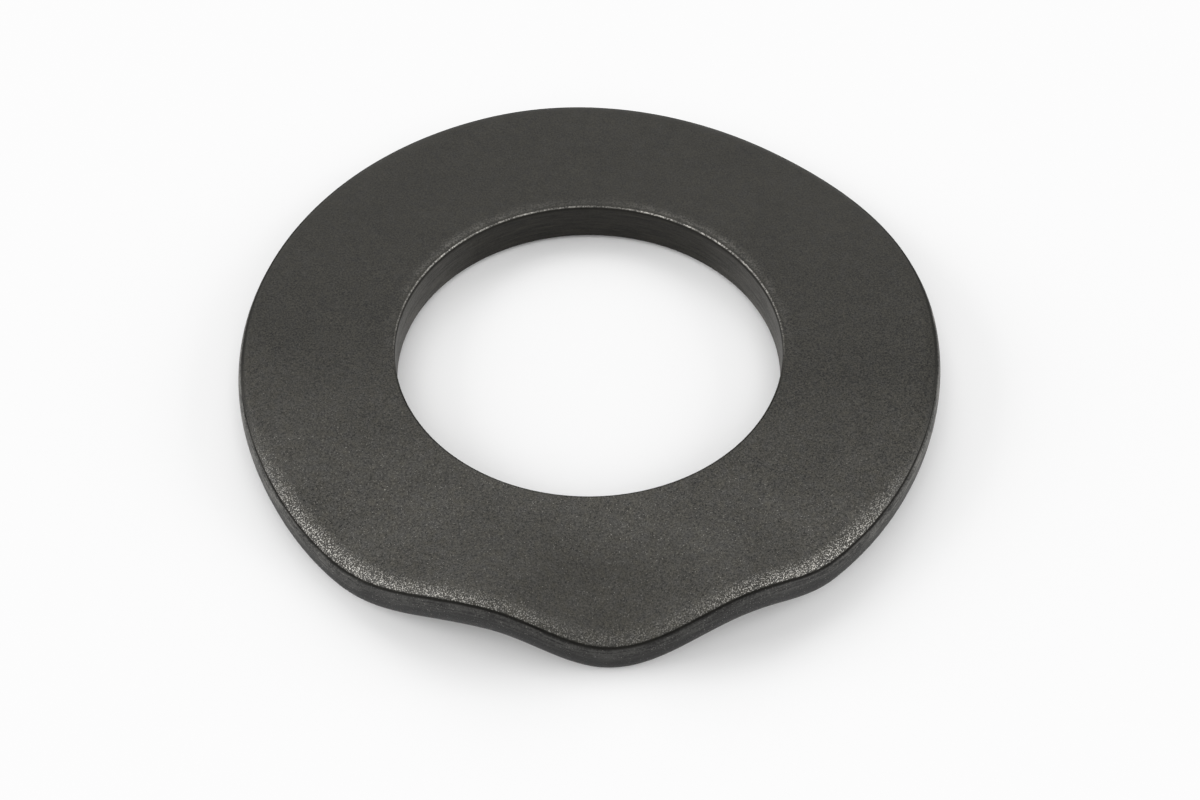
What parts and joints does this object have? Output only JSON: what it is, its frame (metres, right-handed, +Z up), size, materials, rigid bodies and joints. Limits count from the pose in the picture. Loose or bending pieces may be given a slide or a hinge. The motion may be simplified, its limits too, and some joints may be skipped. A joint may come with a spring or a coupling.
{
  "type": "wave washer",
  "caption": "Wave spring washer: a flat steel ring with a round bore and an outer rim pressed into crests and troughs, black finish.",
  "frame": {"origin": "on the bore's axis, in the plane that the washer's lowest troughs rest on", "axes": "+Z up along the bore's axis, -Y towards the deep trough between the two tall crests, +X to the right of it"},
  "size_m": [0.0308, 0.0308, 0.0038],
  "materials": {
    "black_steel": "matt black phosphate over fine-grained spring steel"
  },
  "bodies": {
    "root": {"wave_washer": "black_steel"}
  },
  "joints": []
}
